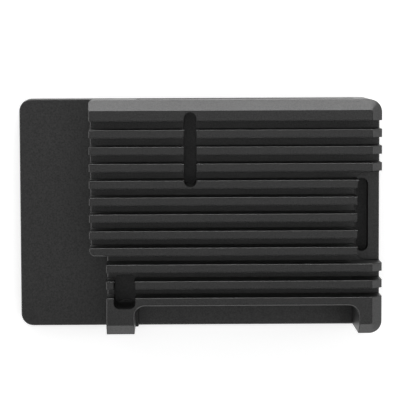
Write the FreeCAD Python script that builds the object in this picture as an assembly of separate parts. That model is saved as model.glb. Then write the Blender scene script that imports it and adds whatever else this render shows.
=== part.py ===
import FreeCAD, Part
import math
import os

# Passive heatsink case for a credit-card sized computer board, in millimetres.
# A finned aluminium shell stands on four pillars of a flat base plate. Four cap
# screws come up through the base and the board's own holes into the shell.
# The frame has its origin at the middle of the base's underside. +X is the
# card-slot end, +Y the edge with the power, video and audio sockets, +Z up.

Vector = FreeCAD.Vector

# Computer board that the case is made for
board_length = 85.0
board_width = 56.0
board_hole_inset = 3.5
board_hole_span = 58.0
socket_overhang = 2.5

# Base plate
base_thickness = 4.5
corner_radius = 3.0
base_edge_break = 0.3
pillar_height = 3.0
pillar_radius = 3.0
pillar_corner_radius = 1.5
base_contact_height = 2.0

# Screws, counterbores and tapped holes
screw_thread_diameter = 2.5
screw_length = 10.0
screw_head_diameter = 4.5
screw_head_height = 2.5
screw_socket_flats = 2.0
screw_socket_depth = 1.2
screw_head_break = 0.25
screw_tip_break = 0.4
screw_head_recess = 0.2
screw_hole_clearance = 0.15
head_clearance = 0.25
thread_clearance = 0.02
tapped_hole_extra = 1.3

# Finned shell: its sides are set from the screw holes that it is clamped at
shell_height = 15.5
shell_chamfer = 2.5
shell_edge_break = 0.3
lug_outer_side = 4.35
step_length = 3.95
step_corner_radius = 1.4
step_inner_radius = 1.0
end_corner_radius = 0.6
fin_pitch = 4.0
groove_width = 2.05
groove_depth = 8.3
first_groove_inset = 6.0
last_fin_width = 1.975
mouth_break = 0.15

# Gap for the pin header, between the two screw lugs
header_recess_depth = 7.0
lug_inner_side = 2.3
corner_inner_side = 2.05
header_recess_radius = 2.5

# Cable slots, with full-round ends
cable_slot_width = 2.92
camera_slot_place = 45.7
camera_slot_start = 2.9
camera_slot_end = 20.55
display_slot_place = 4.2
display_slot_length = 17.6
display_pocket_depth = 6.0
display_pocket_front_side = 2.1
display_pocket_back_side = 1.6
display_pocket_extra = 0.4
display_pocket_radius = 3.0

# Opening over the four-pin power header
power_pin_width = 5.1
power_pin_length = 7.2
power_pin_offset = 6.5
power_pin_radius = 1.3

# Hollow under the shell
component_height = 3.5
header_wall = 1.8
end_wall = 2.3
socket_column_side = 3.0
card_column_side = 2.4
column_depth = 6.7
audio_height = 6.4
audio_bay_width = 14.7
audio_bay_depth = 16.5
hollow_corner_radius = 1.5

# Chips that the shell touches through soft pads: distance from the board's card-slot
# edge and offset from its long centre line, size, height
processor_place = (29.3, -4.5)
processor_size = (15.0, 15.0)
processor_height = 2.4
memory_place = (45.0, -4.5)
memory_size = (10.0, 14.0)
memory_height = 1.1
usb_chip_place = (59.5, 4.0)
usb_chip_size = (8.0, 8.0)
usb_chip_height = 1.0
base_pad_size = (18.0, 18.0)
pad_thickness = 0.8
pad_squeeze = 0.2
base_pad_thickness = 1.0
contact_margin = 0.5
contact_radius = 1.0

# Worked out from the sizes above
case_length = board_length + socket_overhang
half_length = case_length / 2
half_width = board_width / 2
seat_z = base_thickness + pillar_height
top_z = seat_z + shell_height
ceiling_z = seat_z + component_height
floor_z = top_z - groove_depth
overshoot = 1.0


def board_x(distance):
    """X of a point this far from the board's card-slot edge."""
    return half_length - distance


def board_y(distance):
    """Y of a point this far from the board's socket edge."""
    return half_width - distance


hole_left = board_x(board_hole_inset + board_hole_span)
hole_right = board_x(board_hole_inset)
hole_y = half_width - board_hole_inset
hole_centres = [(x, y) for x in (hole_left, hole_right) for y in (-hole_y, hole_y)]
step_left = hole_left - lug_outer_side
shell_left = step_left - step_length
header_y = -half_width + header_recess_depth
header_left = hole_left + lug_inner_side
header_right = hole_right - corner_inner_side
window_left = hole_left + socket_column_side
window_right = hole_right - card_column_side
first_groove_y = half_width - first_groove_inset
last_groove_limit = header_y + last_fin_width + groove_width / 2
groove_count = int((first_groove_y - last_groove_limit) / fin_pitch + 0.001) + 1
groove_centres = [first_groove_y - index * fin_pitch for index in range(groove_count)]
step_y = groove_centres[-3] + groove_width / 2
display_reach = display_slot_length / 2
pocket_back = display_reach + display_pocket_back_side
pocket_front = -display_reach - display_pocket_front_side
pocket_floor_z = floor_z - display_pocket_extra
screw_seat_z = screw_head_recess + screw_head_height
screw_tip_z = screw_seat_z + screw_length
board_points = {
    "processor": (board_x(processor_place[0]), processor_place[1]),
    "memory": (board_x(memory_place[0]), memory_place[1]),
    "usb_chip": (board_x(usb_chip_place[0]), usb_chip_place[1]),
}
shell_contacts = {
    "processor": (processor_size, processor_height),
    "memory": (memory_size, memory_height),
    "usb_chip": (usb_chip_size, usb_chip_height),
}


def rounded_outline(corners):
    """Closed wire in the XY plane through (x, y, radius) corners, each rounded by its radius."""
    starts = []
    ends = []
    middles = []
    for index, (x, y, radius) in enumerate(corners):
        point = Vector(x, y, 0)
        before = corners[index - 1]
        after = corners[(index + 1) % len(corners)]
        to_before = (Vector(before[0], before[1], 0) - point).normalize()
        to_after = (Vector(after[0], after[1], 0) - point).normalize()
        half_angle = to_before.getAngle(to_after) / 2
        reach = radius / math.tan(half_angle)
        bisector = (to_before + to_after).normalize()
        starts.append(point + to_before * reach)
        ends.append(point + to_after * reach)
        middles.append(point + bisector * (radius / math.sin(half_angle) - radius))
    edges = []
    for index, corner in enumerate(corners):
        if corner[2] > 0:
            edges.append(Part.Arc(starts[index], middles[index], ends[index]).toShape())
        following = starts[(index + 1) % len(corners)]
        if (following - ends[index]).Length > 1e-6:
            edges.append(Part.LineSegment(ends[index], following).toShape())
    return Part.Wire(edges)


def prism(corners, low_z, high_z):
    """Upright solid on a rounded outline."""
    face = Part.Face(rounded_outline(corners))
    face.translate(Vector(0, 0, low_z))
    return face.extrude(Vector(0, 0, high_z - low_z))


def box_corners(left, right, front, back, radius):
    """Corners of a rectangle, all with the same radius."""
    return [(left, front, radius), (right, front, radius), (right, back, radius), (left, back, radius)]


def centred_corners(centre, size, radius):
    """Corners of a rectangle about its centre."""
    left = centre[0] - size[0] / 2
    front = centre[1] - size[1] / 2
    return box_corners(left, left + size[0], front, front + size[1], radius)


def section_bar(points, start, run):
    """Straight bar with a polygon section: 3-D points swept along one vector."""
    wire = Part.makePolygon([start + point for point in points] + [start + points[0]])
    return Part.Face(wire).extrude(run)


def contact_corners(size):
    """Size of the machined contact face around a pad."""
    return (size[0] + 2 * contact_margin, size[1] + 2 * contact_margin)


def contact_face_z(chip_height):
    """Height of a contact face that squeezes its pad on a chip of this height."""
    return seat_z + chip_height + pad_thickness - pad_squeeze


def top_rim_edges(shape):
    """Edges of the top face that have an upright wall below them."""
    top_face = max(shape.Faces, key=lambda face: face.CenterOfMass.z)
    rim = []
    for edge in top_face.Edges:
        for face in shape.ancestorsOfType(edge, Part.Face):
            if abs(face.normalAt(0, 0).z) < 1e-6:
                rim.append(edge)
    return rim


def shell_blank():
    """Shell before the cuts, with its stepped outline, wide outer chamfer and broken rim."""
    outline = [
        (shell_left, half_width, 0),
        (half_length, half_width, corner_radius),
        (half_length, -half_width, corner_radius),
        (header_right, -half_width, 0),
        (header_right, header_y, header_recess_radius),
        (header_left, header_y, header_recess_radius),
        (header_left, -half_width, 0),
        (step_left, -half_width, 0),
        (step_left, step_y, step_inner_radius),
        (shell_left, step_y, step_corner_radius),
    ]
    blank = prism(outline, seat_z, top_z)
    outer = []
    for edge in top_rim_edges(blank):
        middle = edge.CenterOfMass
        on_long_side = abs(abs(middle.y) - half_width) < 1e-6
        on_end = middle.x > half_length - corner_radius
        if on_long_side or on_end:
            outer.append(edge)
    blank = blank.makeChamfer(shell_chamfer, outer)
    blank = blank.makeChamfer(shell_edge_break, top_rim_edges(blank))
    upright = []
    for edge in blank.Edges:
        box = edge.BoundBox
        at_corner = abs(box.XMin - shell_left) < 1e-6 and abs(box.YMax - half_width) < 1e-6
        if at_corner and box.ZLength > shell_chamfer * 2:
            upright.append(edge)
    return blank.makeFillet(end_corner_radius, upright)


def groove_tools():
    """Cutters for the grooves between the fins, each with broken ends and a broken mouth."""
    tools = []
    high_z = top_z + overshoot
    right = half_length
    for centre in groove_centres:
        left = shell_left if centre > step_y else step_left
        side = [
            Vector(left - overshoot, 0, high_z),
            Vector(right + overshoot, 0, high_z),
            Vector(right + overshoot, 0, floor_z - shell_edge_break - overshoot),
            Vector(right - shell_edge_break, 0, floor_z),
            Vector(left + shell_edge_break, 0, floor_z),
            Vector(left - overshoot, 0, floor_z - shell_edge_break - overshoot),
        ]
        tools.append(section_bar(side, Vector(0, centre - groove_width / 2, 0), Vector(0, groove_width, 0)))
        lip = groove_width / 2 + mouth_break + overshoot
        mouth = [
            Vector(0, -lip, high_z),
            Vector(0, lip, high_z),
            Vector(0, groove_width / 2, top_z - mouth_break),
            Vector(0, -groove_width / 2, top_z - mouth_break),
        ]
        length = right - left + 2 * overshoot
        tools.append(section_bar(mouth, Vector(left - overshoot, centre, 0), Vector(length, 0, 0)))
    return tools


def slot_tool(centre_x, front, back):
    """Cutter for a full-round cable slot that runs along Y, from the hollow to above the fins."""
    half = cable_slot_width / 2
    corners = box_corners(centre_x - half, centre_x + half, front, back, half)
    return prism(corners, seat_z, top_z + overshoot)


def top_opening_tools():
    """Cutters for the cable slots, the display pocket and the opening over the power pins."""
    camera_x = board_x(camera_slot_place)
    camera = slot_tool(camera_x, board_y(camera_slot_end), board_y(camera_slot_start))
    display_x = board_x(display_slot_place)
    display = slot_tool(display_x, -display_reach, display_reach)
    pocket_left = half_length - display_pocket_depth
    pocket_corners = [
        (pocket_left, pocket_front, display_pocket_radius),
        (half_length + overshoot, pocket_front, 0),
        (half_length + overshoot, pocket_back, 0),
        (pocket_left, pocket_back, display_pocket_radius),
    ]
    pocket = prism(pocket_corners, pocket_floor_z, top_z + overshoot)
    end_points = [
        Vector(half_length - shell_edge_break, 0, pocket_floor_z),
        Vector(half_length + overshoot, 0, pocket_floor_z),
        Vector(half_length + overshoot, 0, pocket_floor_z - shell_edge_break - overshoot),
    ]
    pocket_end = section_bar(end_points, Vector(0, pocket_front, 0), Vector(0, pocket_back - pocket_front, 0))
    pin_centre = (hole_left, -hole_y + power_pin_offset)
    pin_corners = centred_corners(pin_centre, (power_pin_width, power_pin_length), power_pin_radius)
    pins = prism(pin_corners, seat_z, top_z + overshoot)
    return [camera, display, pocket, pocket_end, pins]


def hollow_tools():
    """Cutters for the room over the board: main hollow, socket window, audio bay, power pins."""
    low_z = seat_z - overshoot
    wall_y = header_y + header_wall
    column_y = half_width - column_depth
    main_corners = [
        (shell_left - overshoot, wall_y, 0),
        (half_length - end_wall, wall_y, hollow_corner_radius),
        (half_length - end_wall, column_y, hollow_corner_radius),
        (shell_left - overshoot, column_y, 0),
    ]
    main = prism(main_corners, low_z, ceiling_z)
    window_corners = box_corners(
        window_left, window_right, column_y - overshoot, half_width + overshoot, 0)
    window = prism(window_corners, low_z, ceiling_z)
    audio_corners = [
        (window_left, board_y(audio_bay_depth), hollow_corner_radius),
        (window_left + audio_bay_width, board_y(audio_bay_depth), hollow_corner_radius),
        (window_left + audio_bay_width, half_width + overshoot, 0),
        (window_left, half_width + overshoot, 0),
    ]
    audio = prism(audio_corners, low_z, seat_z + audio_height)
    pin_room = power_pin_width / 2 + contact_margin
    pin_corners = box_corners(
        hole_left - pin_room, hole_left + pin_room,
        -hole_y + power_pin_offset - power_pin_length / 2, wall_y + overshoot, 0)
    pins = prism(pin_corners, low_z, ceiling_z)
    return [main, window, audio, pins]


def contact_blocks():
    """Raised contact faces that hang from the shell's ceiling over the hot chips."""
    blocks = []
    for name, (size, chip_height) in shell_contacts.items():
        corners = centred_corners(board_points[name], contact_corners(size), contact_radius)
        blocks.append(prism(corners, contact_face_z(chip_height), ceiling_z))
    return blocks


def upright_cylinders(diameter, low_z, high_z):
    """One cylinder at each of the four screw holes."""
    radius = diameter / 2
    return [Part.makeCylinder(radius, high_z - low_z, Vector(x, y, low_z)) for x, y in hole_centres]


def make_shell():
    """Finned heatsink shell, machined from one block."""
    shell = shell_blank()
    shell = shell.cut(groove_tools())
    shell = shell.cut(top_opening_tools())
    shell = shell.cut(hollow_tools())
    shell = shell.fuse(contact_blocks())
    tapped_diameter = screw_thread_diameter + 2 * thread_clearance
    tapped_top = screw_tip_z + tapped_hole_extra
    shell = shell.cut(upright_cylinders(tapped_diameter, seat_z - overshoot, tapped_top))
    return shell.removeSplitter()


def pillar_blocks():
    """Two round-ended pillars near the sockets and two corner pillars at the card-slot end."""
    low_z = base_thickness - overshoot
    blocks = []
    for side in (-1, 1):
        edge_y = side * half_width
        inner_y = side * (hole_y - pillar_radius)
        round_ended = [
            (hole_left - pillar_radius, edge_y, 0),
            (hole_left + pillar_radius, edge_y, 0),
            (hole_left + pillar_radius, inner_y, pillar_radius),
            (hole_left - pillar_radius, inner_y, pillar_radius),
        ]
        cornered = [
            (header_right, edge_y, 0),
            (half_length, edge_y, corner_radius),
            (half_length, inner_y, 0),
            (header_right, inner_y, pillar_corner_radius),
        ]
        blocks.append(prism(round_ended, low_z, seat_z))
        blocks.append(prism(cornered, low_z, seat_z))
    return blocks


def make_base():
    """Flat base plate with four pillars and a raised contact face."""
    plate = prism(box_corners(-half_length, half_length, -half_width, half_width, corner_radius),
                  0, base_thickness)
    plate = plate.makeChamfer(base_edge_break, top_rim_edges(plate))
    base = plate.fuse(pillar_blocks())
    raised_corners = centred_corners(
        board_points["processor"], contact_corners(base_pad_size), contact_radius)
    base = base.fuse(prism(raised_corners, base_thickness - overshoot, base_thickness + base_contact_height))
    hole_diameter = screw_thread_diameter + 2 * screw_hole_clearance
    head_diameter = screw_head_diameter + 2 * head_clearance
    base = base.cut(upright_cylinders(hole_diameter, -overshoot, seat_z + overshoot))
    base = base.cut(upright_cylinders(head_diameter, -overshoot, screw_seat_z))
    return base.removeSplitter()


def make_screw():
    """Cap screw standing head down, with its axis on Z and its head's outer face at z = 0."""
    head = Part.makeCylinder(screw_head_diameter / 2, screw_head_height)
    outer_rim = [edge for edge in head.Edges if edge.BoundBox.ZMax < 1e-6]
    head = head.makeChamfer(screw_head_break, outer_rim)
    shank = Part.makeCylinder(screw_thread_diameter / 2, screw_length, Vector(0, 0, screw_head_height))
    tip_z = screw_head_height + screw_length
    tip_rim = [edge for edge in shank.Edges if edge.BoundBox.ZMin > tip_z - 1e-6]
    shank = shank.makeChamfer(screw_tip_break, tip_rim)
    socket_radius = screw_socket_flats / math.sqrt(3)
    socket_points = []
    for index in range(6):
        angle = index * math.pi / 3
        socket_points.append(Vector(socket_radius * math.cos(angle), socket_radius * math.sin(angle), 0))
    socket = section_bar(socket_points, Vector(0, 0, -overshoot), Vector(0, 0, screw_socket_depth + overshoot))
    return head.fuse(shank).cut(socket).removeSplitter()


def make_screws():
    """The four identical screws, seated in their counterbores."""
    screws = []
    for x, y in hole_centres:
        screw = make_screw()
        screw.translate(Vector(x, y, screw_head_recess))
        screws.append(screw)
    return Part.makeCompound(screws)


def make_shell_pad(name):
    """Soft pad stuck to one of the shell's contact faces."""
    size, chip_height = shell_contacts[name]
    face_z = contact_face_z(chip_height)
    corners = centred_corners(board_points[name], size, 0)
    return prism(corners, face_z - pad_thickness, face_z)


def make_base_pad():
    """Soft pad on the base's raised contact face."""
    face_z = base_thickness + base_contact_height
    corners = centred_corners(board_points["processor"], base_pad_size, 0)
    return prism(corners, face_z, face_z + base_pad_thickness)


os.makedirs("parts", exist_ok=True)
nodes = {
    "heatsink_shell": make_shell(),
    "base_plate": make_base(),
    "case_screws": make_screws(),
    "processor_pad": make_shell_pad("processor"),
    "memory_pad": make_shell_pad("memory"),
    "usb_chip_pad": make_shell_pad("usb_chip"),
    "base_pad": make_base_pad(),
}
for node_name, node_shape in nodes.items():
    node_shape.exportStep("parts/" + node_name + ".step")
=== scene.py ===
import logging
import math
from dataclasses import dataclass, field
from enum import Enum
from typing import Any, Callable

import bmesh
import bpy
from mathutils import Euler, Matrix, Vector


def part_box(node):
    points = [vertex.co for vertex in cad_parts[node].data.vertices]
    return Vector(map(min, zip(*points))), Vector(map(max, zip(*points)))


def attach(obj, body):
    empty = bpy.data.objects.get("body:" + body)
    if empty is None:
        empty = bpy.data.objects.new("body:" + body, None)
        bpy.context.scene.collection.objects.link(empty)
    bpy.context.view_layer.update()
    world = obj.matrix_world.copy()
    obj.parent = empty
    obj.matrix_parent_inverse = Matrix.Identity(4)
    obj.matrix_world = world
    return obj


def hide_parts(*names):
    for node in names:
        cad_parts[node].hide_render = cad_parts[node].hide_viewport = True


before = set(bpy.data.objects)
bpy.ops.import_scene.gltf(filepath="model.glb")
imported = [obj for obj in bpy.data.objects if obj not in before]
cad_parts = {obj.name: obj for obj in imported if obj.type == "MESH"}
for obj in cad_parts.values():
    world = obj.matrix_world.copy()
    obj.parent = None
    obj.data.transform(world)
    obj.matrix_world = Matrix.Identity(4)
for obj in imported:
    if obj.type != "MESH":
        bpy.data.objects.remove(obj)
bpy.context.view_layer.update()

# Passive heatsink case for a small computer board: a finned shell over a flat
# base plate, four cap screws from below and soft pads between metal and chips.

MM = 0.001
LOG = logging.getLogger("heatsink_case")

# The sRGB curve: a straight foot up to the knee, then a power
SRGB_KNEE = 0.04045
SRGB_FOOT = 12.92
SRGB_LIFT = 0.055
SRGB_POWER = 2.4

# Noise keeps almost wholly between these two values
NOISE_LOW = 0.25
NOISE_HIGH = 0.75

# What a node is set to and what feeds its inputs
Settings = dict[str | int, Any]
Links = dict[str | int, bpy.types.NodeSocket]


def linear(hex_colour: str) -> tuple[float, float, float, float]:
    """Turn an sRGB hex colour into the linear colour that a socket takes.

    Args:
        hex_colour: six hex digits after a hash, such as "#2b2b2d".

    Returns:
        Linear red, green and blue, with an alpha of one.
    """
    channels = []
    for place in (1, 3, 5):
        value = int(hex_colour[place:place + 2], 16) / 255
        if value <= SRGB_KNEE:
            channels.append(value / SRGB_FOOT)
        else:
            channels.append(((value + SRGB_LIFT) / (1 + SRGB_LIFT)) ** SRGB_POWER)
    return (channels[0], channels[1], channels[2], 1.0)


def add_node(tree: bpy.types.NodeTree, kind: str, settings: Settings | None = None,
             links: Links | None = None) -> bpy.types.Node:
    """Add one shader node with its settings and the links that feed it.

    Args:
        tree: the node tree to add to.
        kind: the node's type name.
        settings: node attributes or input values, by name or input index.
        links: output sockets, by the name or index of the input that each feeds.

    Returns:
        The new node.
    """
    node = tree.nodes.new(kind)
    for name, value in (settings or {}).items():
        if isinstance(name, str) and hasattr(node, name):
            setattr(node, name, value)
        else:
            node.inputs[name].default_value = value
    for name, socket in (links or {}).items():
        tree.links.new(socket, node.inputs[name])
    return node


def new_material(name: str) -> tuple[bpy.types.Material, bpy.types.NodeTree]:
    """Make a material with an empty node tree.

    Args:
        name: the material's name.

    Returns:
        The material and its tree.
    """
    material = bpy.data.materials.new(name)
    material.use_nodes = True
    material.node_tree.nodes.clear()
    return material, material.node_tree


def dress(piece: bpy.types.Object, material: bpy.types.Material) -> None:
    """Give a piece one material in place of what it had.

    Args:
        piece: the object to dress.
        material: the finish it gets.
    """
    piece.data.materials.clear()
    piece.data.materials.append(material)


def waves_per_metre(feature_mm: float) -> float:
    """Texture scale at which one feature of a noise or cell pattern has this size.

    Args:
        feature_mm: the real size of one feature.

    Returns:
        The scale for coordinates in metres.
    """
    return 1.0 / (feature_mm * MM)


@dataclass(frozen=True)
class AnodisedAluminium:
    """Milled aluminium, bead-blasted all over and then dyed black in the anodising bath.

    Blasting leaves a fine even grain that spreads every highlight into a soft sheen.
    """

    name: str
    face_hex: str = "#212121"
    # The edge colour is painted shade, darker than the face so that broken edges don't catch light as
    # bright lines.
    edge_shade_hex: str = "#161616"
    # The wall colour is painted light, laid on the groove walls towards their foot.
    groove_light_hex: str = "#5c5c5c"
    speck_hex: str = "#7c7c7c"
    metallic: float = 0.35
    roughness: float = 0.42
    roughness_spread: float = 0.05
    # Blasting craters measure about 0.05 mm; drawn at 0.36 mm so that they show
    grain_mm: float = 0.36
    grain_detail: float = 2.0
    grain_fineness: float = 0.55
    grain_share: float = 0.85
    grain_depth_mm: float = 0.004
    # The dye takes a little unevenly over wide patches
    mottle_mm: float = 6.0
    mottle_detail: float = 3.0
    mottle_share: float = 0.14
    # Broken edges get painted shade: they are drawn rough, dark and metallic, so that they don't stand out
    # as bright lines, which the photograph doesn't have. These values are set by tone. The agreement is the
    # cosine of the turn at which an edge gets the full painted shade.
    edge_width_mm: float = 0.20
    edge_samples: int = 4
    edge_agreement: float = 0.95
    edge_roughness: float = 1.0
    edge_metallic: float = 1.0
    # The groove walls get painted light, greyer towards the foot, where their shade came out blacker than
    # the photograph. The places are in the case's own frame, and the header gap's wall lies outside them.
    wall_uprightness: float = 0.9
    grooves_middle_mm: float = 2.0
    grooves_reach_mm: float = 21.3
    grooves_end_mm: float = 37.0
    grooves_foot_mm: float = 14.6
    grooves_light_top_mm: float = 21.0
    # The sealed oxide film is clear and gives a smoother glint at low angles
    film: float = 0.06
    film_roughness: float = 0.30
    # Single beads bit through the dye; the core is the part of a speck that is fully pale
    speck_spacing_mm: float = 9.0
    speck_radius_mm: float = 0.16
    speck_core: float = 0.4

    def build(self) -> bpy.types.Material:
        """Make the material's nodes.

        Returns:
            The finished material.
        """
        material, tree = new_material(self.name)
        place = add_node(tree, "ShaderNodeTexCoord").outputs["Object"]
        grain = add_node(tree, "ShaderNodeTexNoise",
                         {"Scale": waves_per_metre(self.grain_mm), "Detail": self.grain_detail,
                          "Roughness": self.grain_fineness},
                         {"Vector": place}).outputs["Fac"]
        mottle = add_node(tree, "ShaderNodeTexNoise",
                          {"Scale": waves_per_metre(self.mottle_mm), "Detail": self.mottle_detail},
                          {"Vector": place}).outputs["Fac"]
        edge_shade_share = self.painted_edge_shade(tree)
        # Painted shade: edges are darkened towards the edge colour.
        colour = add_node(tree, "ShaderNodeMix",
                          {"data_type": "RGBA", 6: linear(self.face_hex), 7: linear(self.edge_shade_hex)},
                          {0: edge_shade_share}).outputs[2]
        # Painted light: the groove walls are drawn greyer towards their foot.
        colour = add_node(tree, "ShaderNodeMix", {"data_type": "RGBA", 7: linear(self.groove_light_hex)},
                          {0: self.painted_groove_light(tree, place), 6: colour}).outputs[2]
        colour = self.specks(tree, place, colour)
        brightness = self.varied(tree, grain, self.grain_share, None)
        brightness = self.varied(tree, mottle, self.mottle_share, brightness)
        tinted = add_node(tree, "ShaderNodeVectorMath", {"operation": "MULTIPLY"},
                          {0: colour, 1: brightness}).outputs["Vector"]
        gloss = add_node(tree, "ShaderNodeMapRange",
                         {"To Min": self.roughness - self.roughness_spread,
                          "To Max": self.roughness + self.roughness_spread},
                         {"Value": mottle}).outputs["Result"]
        gloss = add_node(tree, "ShaderNodeMix", {"data_type": "FLOAT", 3: self.edge_roughness},
                         {0: edge_shade_share, 2: gloss}).outputs[0]
        relief = add_node(tree, "ShaderNodeBump", {"Distance": self.grain_depth_mm * MM},
                          {"Height": grain}).outputs["Normal"]
        metalness = add_node(tree, "ShaderNodeMapRange",
                            {"To Min": self.metallic, "To Max": self.edge_metallic},
                            {"Value": edge_shade_share}).outputs["Result"]
        shader = add_node(tree, "ShaderNodeBsdfPrincipled",
                          {"Coat Weight": self.film, "Coat Roughness": self.film_roughness},
                          {"Base Color": tinted, "Metallic": metalness, "Roughness": gloss,
                           "Normal": relief})
        add_node(tree, "ShaderNodeOutputMaterial", links={"Surface": shader.outputs["BSDF"]})
        return material

    def painted_edge_shade(self, tree: bpy.types.NodeTree) -> bpy.types.NodeSocket:
        """Share of painted edge shade, which is one along edges and nothing on open faces.

        Args:
            tree: the material's tree.

        Returns:
            The edge shade socket.
        """
        rounded = add_node(tree, "ShaderNodeBevel",
                           {"samples": self.edge_samples,
                            "Radius": self.edge_width_mm * MM}).outputs["Normal"]
        flat = add_node(tree, "ShaderNodeNewGeometry").outputs["Normal"]
        agreement = add_node(tree, "ShaderNodeVectorMath", {"operation": "DOT_PRODUCT"},
                             {0: rounded, 1: flat}).outputs["Value"]
        return add_node(tree, "ShaderNodeMapRange",
                        {"From Min": 1.0, "From Max": self.edge_agreement},
                        {"Value": agreement}).outputs["Result"]

    def painted_groove_light(self, tree: bpy.types.NodeTree,
                     place: bpy.types.NodeSocket) -> bpy.types.NodeSocket:
        """Share of painted light on the groove walls, which is one at the foot of the grooves and nothing
        elsewhere.

        Args:
            tree: the material's tree.
            place: the object coordinates.

        Returns:
            The painted-light socket.
        """
        facing = add_node(tree, "ShaderNodeNewGeometry").outputs["Normal"]
        across = add_node(tree, "ShaderNodeSeparateXYZ", links={"Vector": facing}).outputs["Y"]
        sideways = add_node(tree, "ShaderNodeMath", {"operation": "ABSOLUTE"},
                            {0: across}).outputs["Value"]
        point = add_node(tree, "ShaderNodeSeparateXYZ", links={"Vector": place}).outputs
        share = add_node(tree, "ShaderNodeMapRange",
                         {"From Min": self.grooves_light_top_mm * MM,
                          "From Max": self.grooves_foot_mm * MM},
                         {"Value": point["Z"]}).outputs["Result"]
        limits = (
            (sideways, {"operation": "GREATER_THAN", 1: self.wall_uprightness}),
            (point["Y"], {"operation": "COMPARE", 1: self.grooves_middle_mm * MM,
                          2: self.grooves_reach_mm * MM}),
            (point["X"], {"operation": "LESS_THAN", 1: self.grooves_end_mm * MM}),
            (point["Z"], {"operation": "GREATER_THAN", 1: self.grooves_foot_mm * MM}),
        )
        for value, limit in limits:
            within = add_node(tree, "ShaderNodeMath", limit, {0: value}).outputs["Value"]
            share = add_node(tree, "ShaderNodeMath", {"operation": "MULTIPLY"},
                             {0: share, 1: within}).outputs["Value"]
        return share

    def specks(self, tree: bpy.types.NodeTree, place: bpy.types.NodeSocket,
               colour: bpy.types.NodeSocket) -> bpy.types.NodeSocket:
        """Sparse pale specks, where single beads bit through the dye.

        Args:
            tree: the material's tree.
            place: the object coordinates.
            colour: the colour below the specks.

        Returns:
            The colour socket with specks.
        """
        cells = add_node(tree, "ShaderNodeTexVoronoi",
                         {"Scale": waves_per_metre(self.speck_spacing_mm)},
                         {"Vector": place}).outputs["Distance"]
        radius = self.speck_radius_mm / self.speck_spacing_mm
        spot = add_node(tree, "ShaderNodeMapRange",
                        {"From Min": radius, "From Max": radius * self.speck_core},
                        {"Value": cells}).outputs["Result"]
        mix = add_node(tree, "ShaderNodeMix", {"data_type": "RGBA", 7: linear(self.speck_hex)},
                       {0: spot, 6: colour})
        return mix.outputs[2]

    def varied(self, tree: bpy.types.NodeTree, pattern: bpy.types.NodeSocket, share: float,
               brightness: bpy.types.NodeSocket | None) -> bpy.types.NodeSocket:
        """Brightness that follows a pattern by a share either way.

        Args:
            tree: the material's tree.
            pattern: a pattern about one half.
            share: how far the brightness goes up and down.
            brightness: an earlier brightness to multiply by, if any.

        Returns:
            The brightness socket.
        """
        swing = add_node(tree, "ShaderNodeMapRange",
                         {"From Min": NOISE_LOW, "From Max": NOISE_HIGH,
                          "To Min": 1 - share, "To Max": 1 + share},
                         {"Value": pattern}).outputs["Result"]
        if brightness is None:
            return swing
        return add_node(tree, "ShaderNodeMath", {"operation": "MULTIPLY"},
                        {0: swing, 1: brightness}).outputs["Value"]


@dataclass(frozen=True)
class BlackOxideSteel:
    """Hardened steel screw, turned and rolled, then blackened in hot salts and oiled.

    The thin oxide leaves the steel's own sharp sheen, near black with a cold cast.
    """

    name: str = "black_oxide_steel"
    face_hex: str = "#2c2d31"
    rubbed_hex: str = "#5b5d63"
    metallic: float = 1.0
    # The rubbed parts are rougher than the rest, between these shares of the roughness
    roughness: float = 0.32
    smoothest: float = 0.8
    roughest: float = 1.25
    # Turning marks are about 0.05 mm apart; drawn at 0.1 mm so that they show
    turning_mm: float = 0.10
    turning_detail: float = 1.0
    turning_depth_mm: float = 0.002
    # Handling rubs the oxide thin in patches
    rub_mm: float = 0.9
    rub_detail: float = 4.0
    rub_start: float = 0.45
    rub_share: float = 0.6

    def build(self) -> bpy.types.Material:
        """Make the material's nodes.

        Returns:
            The finished material.
        """
        material, tree = new_material(self.name)
        place = add_node(tree, "ShaderNodeTexCoord").outputs["Object"]
        rub = add_node(tree, "ShaderNodeTexNoise",
                       {"Scale": waves_per_metre(self.rub_mm), "Detail": self.rub_detail},
                       {"Vector": place}).outputs["Fac"]
        shine = add_node(tree, "ShaderNodeMapRange",
                         {"From Min": self.rub_start, "From Max": NOISE_HIGH,
                          "To Max": self.rub_share},
                         {"Value": rub}).outputs["Result"]
        colour = add_node(tree, "ShaderNodeMix",
                          {"data_type": "RGBA", 6: linear(self.face_hex), 7: linear(self.rubbed_hex)},
                          {0: shine}).outputs[2]
        gloss = add_node(tree, "ShaderNodeMapRange",
                         {"To Min": self.roughness * self.smoothest,
                          "To Max": self.roughness * self.roughest},
                         {"Value": rub}).outputs["Result"]
        turning = add_node(tree, "ShaderNodeTexNoise",
                           {"Scale": waves_per_metre(self.turning_mm), "Detail": self.turning_detail},
                           {"Vector": place}).outputs["Fac"]
        relief = add_node(tree, "ShaderNodeBump", {"Distance": self.turning_depth_mm * MM},
                          {"Height": turning}).outputs["Normal"]
        shader = add_node(tree, "ShaderNodeBsdfPrincipled", {"Metallic": self.metallic},
                          {"Base Color": colour, "Roughness": gloss, "Normal": relief})
        add_node(tree, "ShaderNodeOutputMaterial", links={"Surface": shader.outputs["BSDF"]})
        return material


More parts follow.
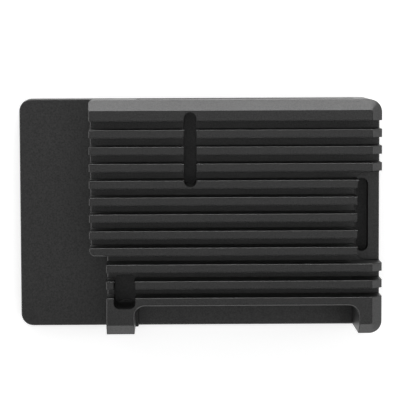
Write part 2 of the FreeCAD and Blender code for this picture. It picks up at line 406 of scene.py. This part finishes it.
@dataclass(frozen=True)
class FilledSilicone:
    """Soft silicone sheet, filled with ceramic powder and die-cut to size.

    The powder makes it matt and slightly mottled, and the cut skin has a faint tack.
    """

    name: str = "filled_silicone"
    base_hex: str = "#93a3b1"
    filler_hex: str = "#b9c3cb"
    roughness: float = 0.62
    roughness_spread: float = 0.08
    ior: float = 1.41
    subsurface: float = 0.06
    subsurface_mm: float = 1.0
    # The powder is about 0.03 mm; drawn at 0.15 mm so that it shows
    filler_mm: float = 0.15
    filler_detail: float = 2.0
    skin_mm: float = 1.6
    skin_detail: float = 3.0
    skin_depth_mm: float = 0.02
    skin_strength: float = 0.6

    def build(self) -> bpy.types.Material:
        """Make the material's nodes.

        Returns:
            The finished material.
        """
        material, tree = new_material(self.name)
        place = add_node(tree, "ShaderNodeTexCoord").outputs["Object"]
        filler = add_node(tree, "ShaderNodeTexNoise",
                          {"Scale": waves_per_metre(self.filler_mm), "Detail": self.filler_detail},
                          {"Vector": place}).outputs["Fac"]
        colour = add_node(tree, "ShaderNodeMix",
                          {"data_type": "RGBA", 6: linear(self.base_hex), 7: linear(self.filler_hex)},
                          {0: filler}).outputs[2]
        skin = add_node(tree, "ShaderNodeTexNoise",
                        {"Scale": waves_per_metre(self.skin_mm), "Detail": self.skin_detail},
                        {"Vector": place}).outputs["Fac"]
        relief = add_node(tree, "ShaderNodeBump",
                          {"Strength": self.skin_strength, "Distance": self.skin_depth_mm * MM},
                          {"Height": skin}).outputs["Normal"]
        gloss = add_node(tree, "ShaderNodeMapRange",
                         {"To Min": self.roughness - self.roughness_spread,
                          "To Max": self.roughness + self.roughness_spread},
                         {"Value": skin}).outputs["Result"]
        shader = add_node(tree, "ShaderNodeBsdfPrincipled",
                          {"IOR": self.ior, "Subsurface Weight": self.subsurface,
                           "Subsurface Scale": self.subsurface_mm * MM},
                          {"Base Color": colour, "Roughness": gloss, "Normal": relief})
        add_node(tree, "ShaderNodeOutputMaterial", links={"Surface": shader.outputs["BSDF"]})
        return material


@dataclass(frozen=True)
class StudioFloor:
    """White paper sweep that reads as plain white and keeps a faint shadow."""

    name: str = "white_paper"
    paper_hex: str = "#e8e8e8"
    glow: float = 0.48

    def build(self) -> bpy.types.Material:
        """Make the material's nodes.

        Returns:
            The finished material.
        """
        material, tree = new_material(self.name)
        paper = add_node(tree, "ShaderNodeBsdfDiffuse", {"Color": linear(self.paper_hex)})
        path = add_node(tree, "ShaderNodeLightPath").outputs
        seen = add_node(tree, "ShaderNodeMath", {"operation": "MAXIMUM"},
                        {0: path["Is Camera Ray"], 1: path["Is Glossy Ray"]}).outputs["Value"]
        strength = add_node(tree, "ShaderNodeMath", {"operation": "MULTIPLY", 1: self.glow},
                            {0: seen}).outputs["Value"]
        glow = add_node(tree, "ShaderNodeEmission", links={"Strength": strength})
        both = add_node(tree, "ShaderNodeAddShader",
                        links={0: paper.outputs["BSDF"], 1: glow.outputs["Emission"]})
        # Seen from below the paper vanishes, so that the case's underside shows
        below = add_node(tree, "ShaderNodeNewGeometry").outputs["Backfacing"]
        clear = add_node(tree, "ShaderNodeBsdfTransparent").outputs["BSDF"]
        sheet = add_node(tree, "ShaderNodeMixShader", links={0: below, 1: both.outputs["Shader"], 2: clear})
        add_node(tree, "ShaderNodeOutputMaterial", links={"Surface": sheet.outputs["Shader"]})
        return material


def skin(name: str, rings: list[list[Vector]], sharp_degrees: float = 35.0) -> bpy.types.Object:
    """Close a row of rings into one solid mesh, with a point at each end.

    Args:
        name: the new object's name.
        rings: rings of equal length, from one end of the form to the other.
        sharp_degrees: edges that turn more than this stay crisp.

    Returns:
        The new object, linked to the scene.
    """
    mesh = bpy.data.meshes.new(name)
    build = bmesh.new()
    rows = [[build.verts.new(point) for point in ring] for ring in rings]
    count = len(rings[0])
    for row, following in zip(rows, rows[1:]):
        for index in range(count):
            after = (index + 1) % count
            build.faces.new((row[index], row[after], following[after], following[index]))
    for row, backwards in ((rows[0], True), (rows[-1], False)):
        middle = sum((vertex.co for vertex in row), Vector()) / count
        tip = build.verts.new(middle)
        for index in range(count):
            after = (index + 1) % count
            corners = (row[after], row[index], tip) if backwards else (row[index], row[after], tip)
            build.faces.new(corners)
    bmesh.ops.recalc_face_normals(build, faces=build.faces)
    for face in build.faces:
        face.smooth = True
    for edge in build.edges:
        edge.smooth = edge.calc_face_angle(0.0) < math.radians(sharp_degrees)
    build.to_mesh(mesh)
    build.free()
    piece = bpy.data.objects.new(name, mesh)
    bpy.context.scene.collection.objects.link(piece)
    return piece


class RingShape(Enum):
    """Outline of a screw's section at one height."""

    ROUND = "round"
    HEXAGON = "hexagon"
    KNURL = "knurl"
    THREAD = "thread"


@dataclass(frozen=True)
class Ring:
    """One section of the screw: its height, its radius and its outline."""

    height: float
    radius: float
    shape: RingShape = RingShape.ROUND


@dataclass
class CapScrews:
    """Four M2.5 cap screws, heads down in the base's counterbores, 10 mm under the head."""

    node: str = "case_screws"
    slot: str = "black_steel"
    finish: BlackOxideSteel = field(default_factory=BlackOxideSteel)
    head_radius: float = 2.25 * MM
    head_height: float = 2.5 * MM
    # The four shares are of the head's break: its rounding, the plain bands before and after
    # the knurl, and the draw of the head's lower edge
    head_break: float = 0.25 * MM
    round_share: float = 0.35
    plain_before: float = 1.6
    plain_after: float = 0.3
    lower_draw: float = 0.2
    # The drill leaves a cone at the socket's floor, almost to a point
    socket_flats: float = 2.0 * MM
    socket_depth: float = 1.2 * MM
    socket_chamfer: float = 0.12 * MM
    socket_cone: float = 0.25 * MM
    cone_point: float = 0.05
    knurl_teeth: int = 24
    knurl_depth: float = 0.07 * MM
    thread_radius: float = 1.25 * MM
    thread_pitch: float = 0.45 * MM
    thread_depth: float = 0.25 * MM
    tip_break: float = 0.4 * MM
    segments: int = 96
    rings_per_pitch: int = 8

    def build(self) -> list[bpy.types.Object]:
        """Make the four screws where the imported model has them.

        Returns:
            The screws.
        """
        low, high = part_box(self.node)
        material = self.finish.build()
        columns = (low.x + self.head_radius, high.x - self.head_radius)
        rows = (low.y + self.head_radius, high.y - self.head_radius)
        screws = []
        for x in columns:
            for y in rows:
                rings = self.rings(high.z - low.z)
                foot = Vector((x, y, low.z))
                points = [[foot + point for point in self.outline(ring)] for ring in rings]
                screw = skin(f"cap_screw_{len(screws) + 1}", points)
                dress(screw, material)
                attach(screw, "root")
                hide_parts(self.node)
                screws.append(screw)
        return screws

    def rings(self, length: float) -> list[Ring]:
        """Sections from the socket's floor, round the head and along the thread to the tip.

        Args:
            length: the whole length, head and thread.

        Returns:
            The sections in order.
        """
        flat = self.socket_flats / 2
        mouth = flat / math.cos(math.pi / 6) + self.socket_chamfer
        rounding = self.head_break * self.round_share
        grip_low = self.head_break * self.plain_before
        grip_high = self.head_height - self.head_break
        rings = [
            Ring(self.socket_depth + self.socket_cone, flat * self.cone_point),
            Ring(self.socket_depth, flat, RingShape.HEXAGON),
            Ring(self.socket_chamfer, flat, RingShape.HEXAGON),
            Ring(0.0, mouth),
            Ring(0.0, self.head_radius - self.head_break),
            Ring(rounding, self.head_radius - rounding),
            Ring(self.head_break, self.head_radius),
            Ring(grip_low, self.head_radius, RingShape.KNURL),
            Ring(grip_high, self.head_radius, RingShape.KNURL),
            Ring(grip_high + self.head_break * self.plain_after, self.head_radius),
            Ring(self.head_height, self.head_radius - self.head_break * self.lower_draw),
            Ring(self.head_height, self.thread_radius),
        ]
        step = self.thread_pitch / self.rings_per_pitch
        start = self.head_height + self.thread_pitch
        end = length - self.tip_break
        count = int((end - start) / step)
        rings.append(Ring(start, self.thread_radius))
        for index in range(1, count + 1):
            rings.append(Ring(start + index * step, self.thread_radius, RingShape.THREAD))
        rings.append(Ring(end, self.thread_radius - self.thread_depth / 2))
        rings.append(Ring(length, self.thread_radius - self.tip_break))
        return rings

    def outline(self, ring: Ring) -> list[Vector]:
        """Points of one section about the screw's axis.

        Args:
            ring: the section.

        Returns:
            Its points, in order round the axis.
        """
        reach = self.reach_of(ring)
        points = []
        for index in range(self.segments):
            angle = 2 * math.pi * index / self.segments
            radius = reach(angle)
            points.append(Vector((radius * math.cos(angle), radius * math.sin(angle), ring.height)))
        return points

    def reach_of(self, ring: Ring) -> Callable[[float], float]:
        """How far a section reaches from the axis at each angle.

        Args:
            ring: the section.

        Returns:
            A function from angle to radius.
        """
        def hexagon(angle: float) -> float:
            """Distance to the nearest flat of the socket."""
            return ring.radius / math.cos(angle % (math.pi / 3) - math.pi / 6)

        def knurl(angle: float) -> float:
            """Straight knurl with rounded teeth."""
            return ring.radius - self.knurl_depth * (0.5 - 0.5 * math.cos(self.knurl_teeth * angle))

        def thread(angle: float) -> float:
            """Rolled 60 degree thread, cut by one plane across the axis."""
            turn = (ring.height / self.thread_pitch - angle / (2 * math.pi)) % 1.0
            return ring.radius - self.thread_depth * abs(2 * turn - 1)

        choices = {RingShape.HEXAGON: hexagon, RingShape.KNURL: knurl, RingShape.THREAD: thread}
        return choices.get(ring.shape, lambda angle: ring.radius)


class PadPlace(Enum):
    """The four places that a soft pad fills, by node."""

    PROCESSOR = "processor_pad"
    MEMORY = "memory_pad"
    USB_CHIP = "usb_chip_pad"
    BASE = "base_pad"


@dataclass
class ThermalPad:
    """Die-cut pad between a metal face and a chip, its cut sides bulged a little."""

    place: PadPlace
    finish: bpy.types.Material
    slot: str = "thermal_pad"
    corner: float = 0.5 * MM
    corner_steps: int = 6
    # The cut draws the sides in towards both faces: insets as shares of the draw at the flat
    # face, at the rim and on the flank, and the rim's height as a share of the lip
    side_draw: float = 0.10 * MM
    lip: float = 0.12 * MM
    face_inset: float = 6.0
    rim_inset: float = 1.1
    flank_inset: float = 0.6
    rim_rise: float = 0.25

    def build(self) -> bpy.types.Object:
        """Make the pad in the box of its node.

        Returns:
            The pad.
        """
        low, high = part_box(self.place.value)
        height = high.z - low.z
        lower = (
            (self.side_draw * self.face_inset, 0.0),
            (self.side_draw + self.lip, 0.0),
            (self.side_draw * self.rim_inset, self.lip * self.rim_rise),
            (self.side_draw * self.flank_inset, self.lip),
        )
        upper = tuple((inset, height - rise) for inset, rise in reversed(lower))
        levels = (*lower, (0.0, height / 2), *upper)
        rings = [self.outline(low, high, inset, low.z + rise) for inset, rise in levels]
        pad = skin(self.place.value + "_sheet", rings)
        dress(pad, self.finish)
        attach(pad, "root")
        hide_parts(self.place.value)
        return pad

    def outline(self, low: Vector, high: Vector, inset: float, z: float) -> list[Vector]:
        """Rounded rectangle at one height.

        Args:
            low: the box's low corner.
            high: the box's high corner.
            inset: how far the outline lies inside the box.
            z: the height.

        Returns:
            Its points, in order.
        """
        reach_x = (high.x - low.x) / 2 - inset - self.corner
        reach_y = (high.y - low.y) / 2 - inset - self.corner
        middle = (low + high) / 2
        points = []
        for quarter in range(4):
            start = quarter * math.pi / 2
            centre_x = reach_x * (1 if quarter in (0, 3) else -1)
            centre_y = reach_y * (1 if quarter in (0, 1) else -1)
            for step in range(self.corner_steps + 1):
                angle = start + step / self.corner_steps * math.pi / 2
                points.append(Vector((middle.x + centre_x + self.corner * math.cos(angle),
                                      middle.y + centre_y + self.corner * math.sin(angle), z)))
        return points


@dataclass
class MachinedCase:
    """The two machined halves, kept as packed and given their finishes."""

    shell_node: str = "heatsink_shell"
    base_node: str = "base_plate"
    shell_finish: AnodisedAluminium = AnodisedAluminium("anodised_shell")
    # The base's edges get painted shade too, a little darker than its face.
    base_finish: AnodisedAluminium = AnodisedAluminium(
        "anodised_base", face_hex="#1f1f1f", edge_shade_hex="#1c1c1c", mottle_mm=9.0)

    def build(self) -> list[bpy.types.Object]:
        """Dress both halves.

        Returns:
            The shell and the base.
        """
        halves = []
        for node, finish in ((self.shell_node, self.shell_finish), (self.base_node, self.base_finish)):
            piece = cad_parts[node]
            dress(piece, finish.build())
            halves.append(piece)
        return halves


@dataclass(frozen=True)
class Softbox:
    """One rectangular lamp: where it stands, its two sides in metres and its power in watts."""

    name: str
    place: tuple[float, float, float]
    side: tuple[float, float]
    power: float


@dataclass
class Studio:
    """Plain white table, soft lamps on all sides and the photograph's camera."""

    floor_finish: StudioFloor = field(default_factory=StudioFloor)
    floor_side: float = 6.0
    # A hair below the base, so that the two faces don't share one plane
    floor_gap: float = 0.02 * MM
    sky_hex: str = "#a0a0a0"
    sky_strength: float = 1.14
    aim: tuple[float, float, float] = (0.0, 0.0, 0.012)
    softboxes: tuple[Softbox, ...] = (
        Softbox("overhead", (-0.10, 0.10, 1.10), (0.50, 0.50), 0.95),
        Softbox("socket_high", (0.0, 0.95, 0.45), (1.20, 0.30), 2.5),
        Softbox("card_high", (0.75, 0.0, 1.0), (0.60, 1.20), 3.3),
        Softbox("socket_horizon", (0.0, 0.90, 0.12), (1.60, 0.22), 12.6),
        Softbox("header_horizon", (0.0, -0.90, 0.12), (1.60, 0.22), 5.0),
        Softbox("usb_horizon", (-0.90, 0.0, 0.12), (1.60, 0.22), 3.6),
        Softbox("card_horizon", (0.90, 0.0, 0.12), (1.60, 0.22), 2.0),
    )
    camera_place: tuple[float, float, float] = (-0.00467, 0.04002, 0.48500)
    camera_turn: tuple[float, float, float] = (-0.076962, -0.01113, -0.003987)
    camera_lens: float = 175.94
    camera_sensor: float = 36.0
    camera_clip: tuple[float, float] = (0.01, 20.0)

    def build(self) -> None:
        """Set the floor, the world, the lamps and the camera."""
        self.lay_floor()
        self.paint_world()
        for softbox in self.softboxes:
            self.hang(softbox)
        self.set_camera()

    def lay_floor(self) -> None:
        """White floor that the case stands on."""
        half = self.floor_side / 2
        mesh = bpy.data.meshes.new("floor")
        z = -self.floor_gap
        corners = [(-half, -half, z), (half, -half, z), (half, half, z), (-half, half, z)]
        mesh.from_pydata(corners, [], [(0, 1, 2, 3)])
        floor = bpy.data.objects.new("floor", mesh)
        bpy.context.scene.collection.objects.link(floor)
        dress(floor, self.floor_finish.build())

    def paint_world(self) -> None:
        """Even grey sky."""
        world = bpy.data.worlds.new("studio_sky")
        world.use_nodes = True
        world.node_tree.nodes.clear()
        sky = add_node(world.node_tree, "ShaderNodeBackground",
                       {"Color": linear(self.sky_hex), "Strength": self.sky_strength})
        add_node(world.node_tree, "ShaderNodeOutputWorld", links={"Surface": sky.outputs["Background"]})
        bpy.context.scene.world = world

    def hang(self, softbox: Softbox) -> None:
        """Put up one softbox, facing the case.

        Args:
            softbox: the lamp's place, sides and power.
        """
        light = bpy.data.lights.new(softbox.name, "AREA")
        light.shape = "RECTANGLE"
        light.size, light.size_y = softbox.side
        light.energy = softbox.power
        lamp = bpy.data.objects.new(softbox.name, light)
        lamp.location = softbox.place
        towards = Vector(self.aim) - Vector(softbox.place)
        lamp.rotation_euler = towards.to_track_quat("-Z", "Y").to_euler()
        bpy.context.scene.collection.objects.link(lamp)

    def set_camera(self) -> None:
        """Camera almost straight above the case, as the photograph has it."""
        lens = bpy.data.cameras.new("photo_camera")
        lens.lens = self.camera_lens
        lens.sensor_width = self.camera_sensor
        lens.clip_start, lens.clip_end = self.camera_clip
        camera = bpy.data.objects.new("photo_camera", lens)
        camera.location = self.camera_place
        camera.rotation_euler = Euler(self.camera_turn, "XYZ")
        bpy.context.scene.collection.objects.link(camera)
        bpy.context.scene.camera = camera


def main() -> None:
    """Build the case and its studio, and report each piece."""
    logging.basicConfig(level=logging.INFO, format="%(name)s: %(message)s")
    bpy.context.scene.view_settings.view_transform = "Standard"
    pieces = MachinedCase().build()
    pieces += CapScrews().build()
    silicone = FilledSilicone().build()
    for place in PadPlace:
        pieces.append(ThermalPad(place, silicone).build())
    for piece in pieces:
        LOG.info("%s: %d faces", piece.name, len(piece.data.polygons))
    Studio().build()


if __name__ == "__main__":
    main()
